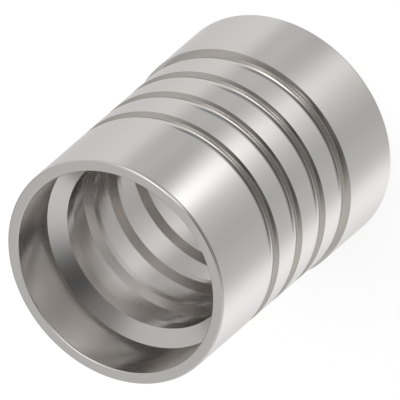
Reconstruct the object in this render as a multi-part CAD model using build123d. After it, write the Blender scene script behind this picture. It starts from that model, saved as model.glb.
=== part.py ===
from build123d import *
import os
from math import radians, sin, tan

# Crimp ferrule for a high-pressure hose: one steel sleeve, turned inside and out.
# It stands on its collar end. The origin is the centre of that end face, and +Z is the axis,
# pointing out of the mouth that the hose goes into. All lengths are in millimetres.

# Overall
length = 50.0
body_diameter = 37.6
collar_step = 0.4
edge_break = 0.2

# Mouth: a counterbore over the hose's rubber cover, then a cone that leads in to the teeth
mouth_wall = 1.9
mouth_depth = 8.77
lead_in_step = 2.45
lead_in_angle = 54.8

# Ring teeth: square on the side away from the mouth, sloped on the side that faces it
tooth_height = 0.9
tooth_pitch = 7.12
tooth_land = 1.16
first_land = 2.0
tooth_slope_angle = 36.2

# Collar: the thick end, whose inward flange locks in the nipple's groove
collar_length = 12.15
flange_thickness = 4.5
flange_height = 1.7
flange_chamfer = 0.6

# Crimp grooves round the outside, set out from the collar's shoulder towards the mouth
groove_pitch = 6.96
groove_depth = 0.92
groove_floor_width = 0.1
groove_entry_angle = 33.6
groove_entry_radius = 5.0
mouth_section = 13.0

# Worked out from the sizes above, as the tool would be set: outside, then step by step inwards
body_radius = body_diameter / 2
collar_radius = body_radius + collar_step
mouth_radius = body_radius - mouth_wall
tooth_radius = mouth_radius - lead_in_step
gap_radius = tooth_radius + tooth_height
flange_radius = tooth_radius - flange_height


def along(rise, angle):
    """How far a slope runs along the axis while it rises by rise, at angle degrees to the axis."""
    return rise / tan(radians(angle))


def longest_round(rise, angle, wanted):
    """The wanted radius at the top of a slope, or the largest that the slope has room for."""
    slope_length = rise / sin(radians(angle))
    return min(wanted, 0.98 * slope_length / tan(radians(angle) / 2))


# A corner of the half section is (radius, height, rounding)


def groove(floor_start):
    """One crimp groove up from the foot of its square wall: floor, then the long rounded way out."""
    floor_radius = body_radius - groove_depth
    floor_end = floor_start + groove_floor_width
    entry_end = floor_end + along(groove_depth, groove_entry_angle)
    entry_round = longest_round(groove_depth, groove_entry_angle, groove_entry_radius)
    return [
        (floor_radius, floor_start, 0),
        (floor_radius, floor_end, 0),
        (body_radius, entry_end, entry_round),
    ]


def outside():
    """The outside from the collar end up to the mouth."""
    corners = [
        (collar_radius - edge_break, 0, 0),
        (collar_radius, edge_break, 0),
        (collar_radius, collar_length, 0),
    ]
    room = length - mouth_section - collar_length
    count = max(1, 1 + int(room / groove_pitch))
    for number in range(count):
        wall = collar_length + number * groove_pitch
        if number:
            corners.append((body_radius, wall, 0))
        corners.extend(groove(wall))
    corners.append((body_radius, length - edge_break, 0))
    corners.append((body_radius - edge_break, length, 0))
    return corners


def tooth_gap(start):
    """One gap between teeth, downwards: the square back of a tooth, the root, the next slope."""
    slope = along(tooth_height, tooth_slope_angle)
    root = tooth_pitch - tooth_land - slope
    return [
        (tooth_radius, start, 0),
        (gap_radius, start, 0),
        (gap_radius, start - root, 0),
        (tooth_radius, start - root - slope, 0),
    ]


def inside():
    """The bore from the mouth down to the collar end."""
    mouth_floor = length - mouth_depth
    cone_end = mouth_floor - along(lead_in_step, lead_in_angle)
    corners = [
        (mouth_radius + edge_break, length, 0),
        (mouth_radius, length - edge_break, 0),
        (mouth_radius, mouth_floor, 0),
        (tooth_radius, cone_end, 0),
    ]
    start = cone_end - first_land
    while start - tooth_pitch > flange_thickness + tooth_land:
        corners.extend(tooth_gap(start))
        start -= tooth_pitch
    corners.extend(
        [
            (tooth_radius, start, 0),
            (gap_radius, start, 0),
            (gap_radius, flange_thickness, 0),
            (flange_radius + flange_chamfer, flange_thickness, 0),
            (flange_radius, flange_thickness - flange_chamfer, 0),
            (flange_radius, flange_chamfer, 0),
            (flange_radius + flange_chamfer, 0, 0),
        ]
    )
    return corners


def ferrule():
    """The half section, revolved once round the axis."""
    corners = outside() + inside()
    points = [(radius, height) for radius, height, rounding in corners]
    roundings = [rounding for radius, height, rounding in corners]
    with BuildPart() as sleeve:
        with BuildSketch(Plane.XZ):
            with BuildLine():
                FilletPolyline(*points, radius=roundings, close=True)
            make_face()
        revolve(axis=Axis.Z)
    return sleeve.part


os.makedirs("parts", exist_ok=True)
export_step(ferrule(), "parts/ferrule.step")
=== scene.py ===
import math

import bpy
import numpy as np
from bpy.props import FloatProperty, FloatVectorProperty, IntProperty, PointerProperty
from mathutils import Matrix, Vector


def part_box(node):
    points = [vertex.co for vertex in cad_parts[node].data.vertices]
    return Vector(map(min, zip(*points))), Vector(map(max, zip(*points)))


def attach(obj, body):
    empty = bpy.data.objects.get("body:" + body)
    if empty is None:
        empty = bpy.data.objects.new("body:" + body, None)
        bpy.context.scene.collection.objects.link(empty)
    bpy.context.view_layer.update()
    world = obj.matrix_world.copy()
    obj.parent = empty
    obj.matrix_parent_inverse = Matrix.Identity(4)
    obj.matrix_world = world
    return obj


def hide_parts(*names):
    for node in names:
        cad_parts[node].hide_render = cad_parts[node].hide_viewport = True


bl_info = {
    "name": "Crimp hose ferrule",
    "version": (1, 0),
    "blender": (4, 5, 0),
    "location": "3D View > Sidebar > Ferrule",
    "description": "Turns the steel sleeve of a hose fitting and sets it on a plain studio floor",
    "category": "Object",
}

MM = 0.001

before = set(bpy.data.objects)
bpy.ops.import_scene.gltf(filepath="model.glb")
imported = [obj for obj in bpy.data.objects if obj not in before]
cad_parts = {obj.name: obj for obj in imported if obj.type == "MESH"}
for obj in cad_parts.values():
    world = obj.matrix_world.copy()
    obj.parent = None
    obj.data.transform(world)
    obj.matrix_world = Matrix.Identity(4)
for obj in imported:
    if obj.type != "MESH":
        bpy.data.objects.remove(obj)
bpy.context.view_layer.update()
LOW, HIGH = (np.array(corner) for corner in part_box("ferrule"))


def linear(colour):
    """An sRGB hex colour such as #c9c4bf as the linear red, green and blue that Blender takes."""
    parts = [int(colour[at : at + 2], 16) / 255 for at in (1, 3, 5)]
    return tuple(p / 12.92 if p <= 0.04045 else ((p + 0.055) / 1.055) ** 2.4 for p in parts)


def size(name, description, default):
    """One length as a property."""
    return FloatProperty(
        name=name, description=description, default=default, min=0, unit="LENGTH", precision=5
    )


def angle(name, description, degrees):
    """One angle as a property."""
    return FloatProperty(
        name=name, description=description, default=math.radians(degrees), subtype="ANGLE"
    )


def share(name, description, default):
    """A number from 0 to 1 as a property."""
    return FloatProperty(
        name=name, description=description, default=default, min=0, max=1, subtype="FACTOR"
    )


def light(name, description, default):
    """A strength of light as a property."""
    return FloatProperty(name=name, description=description, default=default, min=0)


def tint(name, description, colour):
    """One colour as a property, from its sRGB hex."""
    return FloatVectorProperty(
        name=name,
        description=description,
        default=linear(colour),
        size=3,
        min=0,
        max=1,
        subtype="COLOR",
    )


class SleeveSizes(bpy.types.PropertyGroup):
    """The sizes that the lathe works to. The length and the collar come from the CAD frame."""

    length: size("Length", "From the collar end to the mouth", float(HIGH[2] - LOW[2]))
    collar_radius: size("Collar radius", "Outside of the thick end", float(HIGH[0] - LOW[0]) / 2)
    collar_step: size("Collar step", "How far the collar stands out from the body", 0.4 * MM)
    collar_length: size("Collar length", "The thick end, up to the first groove", 12.15 * MM)
    mouth_wall: size("Mouth wall", "Wall left by the counterbore", 1.9 * MM)
    mouth_depth: size("Mouth depth", "Depth of the counterbore", 8.77 * MM)
    lead_in_step: size("Lead-in step", "From the counterbore in to the teeth", 2.45 * MM)
    lead_in_angle: angle("Lead-in angle", "Slope of the cone, to the axis", 54.8)
    tooth_height: size("Tooth height", "From the root to the land", 0.9 * MM)
    tooth_pitch: size("Tooth pitch", "From one ring tooth to the next", 7.12 * MM)
    tooth_land: size("Tooth land", "Width of a tooth's tip", 1.16 * MM)
    first_land: size("First land", "Width of the tip behind the cone", 2.0 * MM)
    tooth_slope: angle("Tooth slope", "Slope that faces the mouth, to the axis", 36.2)
    flange_height: size("Flange height", "How far the flange stands in past the teeth", 1.7 * MM)
    flange_thickness: size("Flange thickness", "Flange at the collar end", 4.5 * MM)
    flange_chamfer: size("Flange chamfer", "On both edges of the flange's bore", 0.6 * MM)
    groove_pitch: size("Groove pitch", "From one crimp groove to the next", 6.96 * MM)
    groove_depth: size("Groove depth", "Of each crimp groove", 0.92 * MM)
    groove_floor: size("Groove floor", "Flat at the foot of the square wall", 0.1 * MM)
    groove_slope: angle("Groove slope", "Of the way out of the groove, to the axis", 33.6)
    groove_round: size("Groove round", "Where the way out runs into the body", 5.0 * MM)
    groove_foot: size("Groove foot", "Small round between the floor and the way out", 0.2 * MM)
    groove_corner: size("Groove corner", "Left by the tool's nose under the wall", 0.02 * MM)
    mouth_section: size("Mouth section", "Plain length kept above the grooves", 13.0 * MM)
    edge_round: size("Edge round", "Outer edges, worn by the tumbling", 0.4 * MM)
    mouth_round: size("Mouth round", "Inner edge of the mouth", 0.25 * MM)
    steps: IntProperty(name="Steps", description="Flats round the axis", default=384, min=24)
    arc_steps: IntProperty(name="Arc steps", description="Flats in one rounding", default=7, min=1)


class SteelFinish(bpy.types.PropertyGroup):
    """Bright steel, straight from the lathe and tumbled: what it gives the eye."""

    colour: tint("Steel", "What the bare steel sends back", "#dddad7")
    outer_roughness: share("Outer roughness", "Where the tumbling reached it", 0.05)
    bore_roughness: share("Bore roughness", "As the boring tool left it", 0.19)
    ringing: share("Ringing", "Share by which the tool's rings change the roughness", 0.08)
    feed: size("Feed", "Distance between the rings that the tool left", 0.35 * MM)


class Studio(bpy.types.PropertyGroup):
    """The plain studio that the ferrule stands in."""

    paper: tint("Paper", "Colour of the floor", "#ffffff")
    paper_size: size("Paper size", "Side of the floor", 6.0)
    shadow_share: share("Shadow", "How much of its shadow the floor keeps", 0.12)
    window_level: light("Window level", "Light of the window over the floor", 2.2)
    # The spot is a pool of light painted on the paper as emission, which only the steel mirrors: a
    # painted highlight
    painted_spot_level: light("Spot level", "Light of the small spot on the paper", 0.6)
    spot_away: size("Spot away", "From the ferrule's axis forward to the spot's middle", 68 * MM)
    spot_aside: size("Spot aside", "From the camera's side left to the spot's middle", 10 * MM)
    spot_length: size("Spot length", "How far the spot fades out forwards and backwards", 20 * MM)
    spot_width: size("Spot width", "How far the spot fades out sideways", 9 * MM)


# Runs of the section shorter than this are no runs, in metres
NO_RUN = 1e-9


def unit(runs):
    """Each row as a vector of length 1."""
    return runs / np.linalg.norm(runs, axis=-1, keepdims=True)


def turned(vectors, by):
    """Vectors in the (radius, height) plane, turned by an angle: (r cos - z sin, r sin + z cos)."""
    radial, axial = vectors[..., 0], vectors[..., 1]
    across = radial * np.cos(by) - axial * np.sin(by)
    along = radial * np.sin(by) + axial * np.cos(by)
    return np.stack((across, along), axis=-1)


def rounded(corners, steps):
    """A closed section with rounded corners: its points, and the normals at both ends of each run.

    Corners are rows of (radius, height, rounding), round the section with the steel on the left.
    A rounding q at a corner that turns by a starts q tan(a / 2) before the corner. At a share s
    of the arc the point is centre + turn(a s)(start - centre), and the outward normal is the
    incoming run's, turned by a s. Where q is 0 the arc is one point, and its runs are dropped.
    """
    place, rounding = corners[:, :2], corners[:, 2:]
    run = unit(place - np.roll(place, 1, axis=0))
    after = np.roll(run, -1, axis=0)
    turn = np.arctan2(run[:, 0] * after[:, 1] - run[:, 1] * after[:, 0], (run * after).sum(axis=1))
    start = place - run * rounding * np.tan(abs(turn) / 2)[:, None]
    centre = start + turned(run, np.sign(turn) * math.pi / 2) * rounding
    by = turn[:, None] * np.linspace(0, 1, steps + 1)
    points = centre[:, None] + turned((start - centre)[:, None], by)
    outward = turned(turned(run, -math.pi / 2)[:, None], by)
    points, outward = points.reshape(-1, 2), outward.reshape(-1, 2)
    kept = np.linalg.norm(np.roll(points, -1, axis=0) - points, axis=1) > NO_RUN
    return points[kept], outward[kept], np.roll(outward, -1, axis=0)[kept]


def revolved(name, section, steps):
    """A closed section swept round +Z: (r cos t, r sin t, z) for t at steps even angles.

    The normal is (nr cos t, nr sin t, nz) with the section's own (nr, nz) at each end of a run,
    so flat and round stretches meet without a false shade.
    """
    points, first, last = section
    count = len(points)
    t = np.arange(steps) * 2 * math.pi / steps
    ring = np.stack((np.cos(t), np.sin(t)), axis=1)
    flat = points[:, None, :1] * ring
    height = np.broadcast_to(points[:, None, 1:], (count, steps, 1))
    vertices = np.concatenate((flat, height), axis=2).reshape(-1, 3)

    here = np.arange(count)[:, None] * steps
    there = np.roll(here, -1, axis=0)
    near = np.arange(steps)[None]
    far = np.roll(near, -1, axis=1)
    faces = np.stack((here + near, here + far, there + far, there + near), axis=2).reshape(-1, 4)

    def spread(normal, at):
        """The section's normals, carried round to the angles whose numbers are at."""
        out = normal[:, None, :1] * ring[at]
        up = np.broadcast_to(normal[:, None, 1:], (count, steps, 1))
        return np.concatenate((out, up), axis=2)

    corners = (
        spread(first, near[0]),
        spread(first, far[0]),
        spread(last, far[0]),
        spread(last, near[0]),
    )
    normals = np.stack(corners, axis=2).reshape(-1, 3)

    mesh = bpy.data.meshes.new(name)
    mesh.from_pydata(vertices, [], faces)
    mesh.polygons.foreach_set("use_smooth", np.ones(len(faces), dtype=bool))
    mesh.normals_split_custom_set(normals)
    mesh.update()
    piece = bpy.data.objects.new(name, mesh)
    bpy.context.collection.objects.link(piece)
    return piece


def outside(sizes):
    """The outside from the collar end up to the mouth, as corners of the section."""
    collar, body = sizes.collar_radius, sizes.collar_radius - sizes.collar_step
    floor = body - sizes.groove_depth
    reach = sizes.groove_depth / math.tan(sizes.groove_slope)
    room = sizes.length - sizes.mouth_section - sizes.collar_length
    corners = [(collar, 0, sizes.edge_round), (collar, sizes.collar_length, 0)]
    for number in range(1 + int(room / sizes.groove_pitch)):
        wall = sizes.collar_length + number * sizes.groove_pitch
        if number:
            corners.append((body, wall, 0))
        corners.append((floor, wall, sizes.groove_corner))
        corners.append((floor, wall + sizes.groove_floor, sizes.groove_foot))
        corners.append((body, wall + sizes.groove_floor + reach, sizes.groove_round))
    corners.append((body, sizes.length, sizes.edge_round))
    return corners


def inside(sizes):
    """The bore from the mouth down to the collar end, as corners of the section."""
    mouth = sizes.collar_radius - sizes.collar_step - sizes.mouth_wall
    land = mouth - sizes.lead_in_step
    root = land + sizes.tooth_height
    flange = land - sizes.flange_height
    mouth_floor = sizes.length - sizes.mouth_depth
    cone_end = mouth_floor - sizes.lead_in_step / math.tan(sizes.lead_in_angle)
    slope = sizes.tooth_height / math.tan(sizes.tooth_slope)
    corners = [(mouth, sizes.length, sizes.mouth_round), (mouth, mouth_floor, 0)]
    corners.append((land, cone_end, 0))
    start = cone_end - sizes.first_land
    while start - sizes.tooth_pitch > sizes.flange_thickness + sizes.tooth_land:
        next_tip = start - sizes.tooth_pitch + sizes.tooth_land
        corners.extend([(land, start, 0), (root, start, 0)])
        corners.extend([(root, next_tip + slope, 0), (land, next_tip, 0)])
        start -= sizes.tooth_pitch
    chamfer, top = sizes.flange_chamfer, sizes.flange_thickness
    corners.extend([(land, start, 0), (root, start, 0), (root, top, 0)])
    corners.extend([(flange + chamfer, top, 0), (flange, top - chamfer, 0)])
    corners.extend([(flange, chamfer, 0), (flange + chamfer, 0, 0)])
    return corners


def node(tree, kind, inputs=None, **settings):
    """Adds a node. Inputs are sockets by name or number, set to a value or linked to an output."""
    new = tree.nodes.new(kind)
    for name, value in settings.items():
        setattr(new, name, value)
    for name, value in (inputs or {}).items():
        if isinstance(value, bpy.types.NodeSocket):
            tree.links.new(value, new.inputs[name])
        else:
            new.inputs[name].default_value = value
    return new


def empty_tree(owner):
    """The owner's node tree with nothing in it."""
    owner.use_nodes = True
    owner.node_tree.nodes.clear()
    return owner.node_tree


# Blender's noise seldom leaves this span, which becomes the span of the rings' roughness
NOISE_LOW, NOISE_HIGH = 0.25, 0.75


def tumbled_turned_steel(sizes, finish):
    """Free-cutting steel, turned and then tumbled bright: a mirror outside, duller in the bore.

    The tumbling has worn the tool's ridges flat, so the rings show only as bands that are a little
    duller or brighter. The tool moves along the section, so they follow radius and height together.
    """
    material = bpy.data.materials.new("tumbled_turned_steel")
    tree = empty_tree(material)
    place = node(tree, "ShaderNodeTexCoord").outputs["Object"]
    across = node(tree, "ShaderNodeVectorMath", {0: place, 1: (1, 1, 0)}, operation="MULTIPLY")
    reach = node(tree, "ShaderNodeVectorMath", {0: across.outputs[0]}, operation="LENGTH")
    radius = reach.outputs["Value"]
    height = node(tree, "ShaderNodeSeparateXYZ", {0: place}).outputs["Z"]
    travel = node(tree, "ShaderNodeMath", {0: radius, 1: height}, operation="ADD")
    turns = node(tree, "ShaderNodeMath", {0: travel.outputs[0], 1: finish.feed}, operation="DIVIDE")
    rings = node(
        tree,
        "ShaderNodeTexNoise",
        {"W": turns.outputs[0], "Scale": 1.0, "Detail": 2.0},
        noise_dimensions="1D",
    )
    uneven = node(
        tree,
        "ShaderNodeMapRange",
        {
            "Value": rings.outputs[0],
            "From Min": NOISE_LOW,
            "From Max": NOISE_HIGH,
            "To Min": 1 - finish.ringing,
            "To Max": 1 + finish.ringing,
        },
    )
    body = sizes.collar_radius - sizes.collar_step
    worn = node(
        tree,
        "ShaderNodeMapRange",
        {
            "Value": radius,
            "From Min": body - sizes.mouth_wall,
            "From Max": body - sizes.groove_depth,
            "To Min": finish.bore_roughness,
            "To Max": finish.outer_roughness,
        },
    )
    dullness = node(
        tree, "ShaderNodeMath", {0: worn.outputs[0], 1: uneven.outputs[0]}, operation="MULTIPLY"
    )
    steel = node(
        tree,
        "ShaderNodeBsdfPrincipled",
        {
            "Base Color": (*finish.colour, 1),
            "Metallic": 1.0,
            "Roughness": dullness.outputs[0],
        },
    )
    node(tree, "ShaderNodeOutputMaterial", {"Surface": steel.outputs[0]})
    return material


class FERRULE_OT_sleeve(bpy.types.Operator):
    """Turn the steel sleeve in place of the CAD node"""

    bl_idname = "ferrule.sleeve"
    bl_label = "Turn the sleeve"

    def execute(self, context):
        sizes = context.scene.ferrule_sizes
        corners = np.array(outside(sizes) + inside(sizes))
        sleeve = revolved("sleeve", rounded(corners, sizes.arc_steps), sizes.steps)
        sleeve.data.materials.append(tumbled_turned_steel(sizes, context.scene.ferrule_steel))
        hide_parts("ferrule")
        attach(sleeve, "root")
        return {"FINISHED"}


# What stands in the white room, as the steel mirrors it: soft round lamps, and flags that shade it.
# Azimuth from the camera's side, then elevation and width in degrees, then stops of light, where
# one stop doubles it. Set in round values, against the tones of the photograph.
LIGHTS_AND_FLAGS = {
    # Overhead: the glints along the grooves and on the mouth's inner edge, and a grey bore
    "high lamp": (-75, 77.5, 10, 3.75),
    "front lamp": (-10, 42.5, 10, 3.25),
    "left lamp": (-50, 35, 12.5, 2.0),
    "dim ceiling": (0, 50, 40, -1.2),
    # Over the camera: the dark stretch of the lead-in cone
    "left flag over the camera": (-37.5, 62.5, 15, -1.75),
    "right flag over the camera": (25, 60, 15, -2.5),
    # Level with the ferrule: the dark square walls of the grooves
    "front flag": (5, -15, 12.5, -2.5),
    "right flag": (45, -12.5, 17.5, -2.5),
    "left flag": (-37.5, -15, 17.5, -1.5),
    # Low: the bright streak along the body, and the greys on both sides of it
    "streak below the camera": (-10, -55, 7.5, 0.4),
    "low left flag": (-37.5, -47.5, 10, -0.4),
    "low right flag": (42.5, -47.5, 15, -0.4),
    "low right panel": (115, -45, 20, 0.4),
    # Under the ferrule: the dark rounds that lead down into the grooves
    "shade before the foot": (0, -72.5, 7.5, -3.0),
    "shade left of the foot": (-45, -67.5, 7.5, -2.0),
    "shade right of the foot": (45, -70, 7.5, -2.5),
    "far left shade": (-67.5, -57.5, 5, -1.5),
    "far right shade": (80, -62.5, 7.5, -2.25),
    # Behind: the grey of the mouth's flat ring
    "dim back wall": (-165, 0, 45, -1.0),
}

# The window that throws the floor's shadow: azimuth and elevation, then how wide it looks
WINDOW_TOWARDS = (-70, 60)
WINDOW_WIDTH = 60

# How far the paper lies under the ferrule, so that their faces don't meet
PAPER_GAP = 0.02 * MM

# The photograph's view: how the camera looks down on the standing ferrule, and where its mouth is
IMAGE_SIDE = 400
MM_PER_PIXEL = 0.1508
LOOK_DOWN = math.asin(0.75)
AXIS_ON_IMAGE = (0.7560, -0.6546)
MOUTH_ON_IMAGE = (115.27, 272.38)
CAMERA_AWAY = 500 * MM
NEAREST_SEEN = 1 * MM


def towards(azimuth, elevation):
    """The direction at an azimuth from the camera's side, -Y, turning to -X, and an elevation."""
    around, up = math.radians(azimuth), math.radians(elevation)
    return (-math.sin(around) * math.cos(up), -math.cos(around) * math.cos(up), math.sin(up))


def white_room():
    """A white world. The camera sees it bare, and the steel with its lamps and flags in it.

    A lamp or flag of width w changes the white by its stops times exp((cos a - 1) / w^2), where
    a is the angle from its middle.
    """
    world = bpy.data.worlds.new("white_room")
    tree = empty_tree(world)
    view = node(tree, "ShaderNodeTexCoord").outputs["Generated"]
    stops = 0.0
    for azimuth, elevation, width, level in LIGHTS_AND_FLAGS.values():
        tightness = 1 / math.radians(width) ** 2
        middle = towards(azimuth, elevation)
        facing = node(tree, "ShaderNodeVectorMath", {0: view, 1: middle}, operation="DOT_PRODUCT")
        fall = node(
            tree,
            "ShaderNodeMath",
            {0: facing.outputs["Value"], 1: tightness, 2: -tightness},
            operation="MULTIPLY_ADD",
        )
        part = node(tree, "ShaderNodeMath", {0: fall.outputs[0]}, operation="EXPONENT")
        added = {0: part.outputs[0], 1: level, 2: stops}
        stops = node(tree, "ShaderNodeMath", added, operation="MULTIPLY_ADD").outputs[0]
    strength = node(tree, "ShaderNodeMath", {0: 2.0, 1: stops}, operation="POWER").outputs[0]
    seen = node(tree, "ShaderNodeLightPath").outputs["Is Camera Ray"]
    shown = node(tree, "ShaderNodeMix", {0: seen, 2: strength, 3: 1.0}).outputs[0]
    room = node(tree, "ShaderNodeBackground", {"Color": (1, 1, 1, 1), "Strength": shown})
    node(tree, "ShaderNodeOutputWorld", {"Surface": room.outputs[0]})
    return world


def white_paper(studio):
    """Matt white paper that keeps a share of its shadow. The steel mirrors the room through it.

    So glossy rays pass it, and shadow rays too, and the lamps and flags under its level reach the
    steel. A small pool of light is painted on the paper in front of the ferrule, as emission that
    only
    glossy rays see, so only the steel shows it, as a painted highlight along the body:
    level * exp(-((x - aside) / width)^2 / 2 - ((y - away) / length)^2 / 2).
    """
    material = bpy.data.materials.new("white_paper")
    tree = empty_tree(material)
    matt = node(tree, "ShaderNodeBsdfDiffuse", {"Color": (*studio.paper, 1)})
    glow = node(tree, "ShaderNodeEmission", {"Color": (*studio.paper, 1), "Strength": 1.0})
    layers = {0: studio.shadow_share, 1: glow.outputs[0], 2: matt.outputs[0]}
    paper = node(tree, "ShaderNodeMixShader", layers)

    # The painted pool of light: emission on the paper that only glossy rays see, a painted
    # highlight in the steel
    place = node(tree, "ShaderNodeTexCoord").outputs["Object"]
    middle = (studio.spot_aside, -studio.spot_away, 0)
    reach = (studio.spot_width, studio.spot_length, 1)
    out = node(tree, "ShaderNodeVectorMath", {0: place, 1: middle}, operation="SUBTRACT")
    flat = node(
        tree, "ShaderNodeVectorMath", {0: out.outputs[0], 1: (1, 1, 0)}, operation="MULTIPLY"
    )
    apart = node(tree, "ShaderNodeVectorMath", {0: flat.outputs[0], 1: reach}, operation="DIVIDE")
    pair = {0: apart.outputs[0], 1: apart.outputs[0]}
    square = node(tree, "ShaderNodeVectorMath", pair, operation="DOT_PRODUCT")
    fall = node(
        tree, "ShaderNodeMath", {0: square.outputs["Value"], 1: -0.5}, operation="MULTIPLY"
    )
    part = node(tree, "ShaderNodeMath", {0: fall.outputs[0]}, operation="EXPONENT")
    strength = node(
        tree, "ShaderNodeMath", {0: part.outputs[0], 1: studio.painted_spot_level}, operation="MULTIPLY"
    )
    spot = node(
        tree, "ShaderNodeEmission", {"Color": (1, 1, 1, 1), "Strength": strength.outputs[0]}
    )
    clear = node(tree, "ShaderNodeBsdfTransparent").outputs[0]
    mirrored = node(tree, "ShaderNodeAddShader", {0: clear, 1: spot.outputs[0]}).outputs[0]

    path = node(tree, "ShaderNodeLightPath").outputs
    seen_or_passed = {0: path["Is Shadow Ray"], 1: paper.outputs[0], 2: clear}
    seen = node(tree, "ShaderNodeMixShader", seen_or_passed).outputs[0]
    seen_or_mirrored = {0: path["Is Glossy Ray"], 1: seen, 2: mirrored}
    surface = node(tree, "ShaderNodeMixShader", seen_or_mirrored).outputs[0]
    node(tree, "ShaderNodeOutputMaterial", {"Surface": surface})
    return material


def paper_floor(studio):
    """A flat square of paper just under the ferrule."""
    half, level = studio.paper_size / 2, LOW[2] - PAPER_GAP
    corners = [
        (-half, -half, level),
        (half, -half, level),
        (half, half, level),
        (-half, half, level),
    ]
    mesh = bpy.data.meshes.new("floor")
    mesh.from_pydata(corners, [], [(0, 1, 2, 3)])
    mesh.materials.append(white_paper(studio))
    floor = bpy.data.objects.new("floor", mesh)
    bpy.context.collection.objects.link(floor)


def window_lamp(studio):
    """A wide soft lamp for the floor's shadow, which the steel doesn't mirror."""
    lamp = bpy.data.lights.new("window", "SUN")
    lamp.energy = studio.window_level
    lamp.angle = math.radians(WINDOW_WIDTH)
    window = bpy.data.objects.new("window", lamp)
    window.rotation_euler = Vector(towards(*WINDOW_TOWARDS)).to_track_quat("Z", "Y").to_euler()
    window.visible_glossy = False
    bpy.context.collection.objects.link(window)


def photograph_camera(sizes):
    """A parallel view down on the mouth, rolled so that the axis lies as in the photograph.

    The image's right and up are built from the image of the axis, which runs along the camera's
    own up when it isn't rolled, and the mouth's centre is set at its place on the image.
    """
    pixel = MM_PER_PIXEL * MM
    back = Vector((0, -math.cos(LOOK_DOWN), math.sin(LOOK_DOWN)))
    along_axis = Vector((0, math.sin(LOOK_DOWN), math.cos(LOOK_DOWN)))
    sideways = back.cross(along_axis)
    right = -AXIS_ON_IMAGE[0] * along_axis - AXIS_ON_IMAGE[1] * sideways
    up = AXIS_ON_IMAGE[1] * along_axis - AXIS_ON_IMAGE[0] * sideways
    middle = Vector((0, 0, sizes.length))
    middle += right * (IMAGE_SIDE / 2 - MOUTH_ON_IMAGE[0]) * pixel
    middle += up * (MOUTH_ON_IMAGE[1] - IMAGE_SIDE / 2) * pixel
    lens = bpy.data.cameras.new("camera")
    lens.type = "ORTHO"
    lens.ortho_scale = IMAGE_SIDE * pixel
    lens.clip_start = NEAREST_SEEN
    camera = bpy.data.objects.new("camera", lens)
    aimed = Matrix((right, up, back)).transposed().to_4x4()
    camera.matrix_world = Matrix.Translation(middle + back * CAMERA_AWAY) @ aimed
    bpy.context.collection.objects.link(camera)
    bpy.context.scene.camera = camera


class FERRULE_OT_stage(bpy.types.Operator):
    """Set the floor, the light and the camera"""

    bl_idname = "ferrule.stage"
    bl_label = "Set the studio"

    def execute(self, context):
        studio = context.scene.ferrule_studio
        context.scene.world = white_room()
        paper_floor(studio)
        window_lamp(studio)
        photograph_camera(context.scene.ferrule_sizes)
        context.scene.view_settings.view_transform = "Standard"
        return {"FINISHED"}


class FERRULE_PT_panel(bpy.types.Panel):
    """Sizes, finish and studio of the ferrule"""

    bl_idname = "FERRULE_PT_panel"
    bl_label = "Crimp hose ferrule"
    bl_space_type = "VIEW_3D"
    bl_region_type = "UI"
    bl_category = "Ferrule"

    def draw(self, context):
        scene = context.scene
        for group in (scene.ferrule_sizes, scene.ferrule_steel, scene.ferrule_studio):
            column = self.layout.column(align=True)
            for name in group.__annotations__:
                column.prop(group, name)
        self.layout.operator(FERRULE_OT_sleeve.bl_idname)
        self.layout.operator(FERRULE_OT_stage.bl_idname)


CLASSES = (
    SleeveSizes,
    SteelFinish,
    Studio,
    FERRULE_OT_sleeve,
    FERRULE_OT_stage,
    FERRULE_PT_panel,
)


def register():
    """Registers the classes, and hangs the property groups on the scene."""
    for each in CLASSES:
        bpy.utils.register_class(each)
    bpy.types.Scene.ferrule_sizes = PointerProperty(type=SleeveSizes)
    bpy.types.Scene.ferrule_steel = PointerProperty(type=SteelFinish)
    bpy.types.Scene.ferrule_studio = PointerProperty(type=Studio)


def unregister():
    """Undoes register."""
    del bpy.types.Scene.ferrule_studio
    del bpy.types.Scene.ferrule_steel
    del bpy.types.Scene.ferrule_sizes
    for each in reversed(CLASSES):
        bpy.utils.unregister_class(each)


def main():
    """Builds the ferrule and its studio."""
    register()
    bpy.ops.ferrule.sleeve()
    bpy.ops.ferrule.stage()


if __name__ == "__main__":
    main()
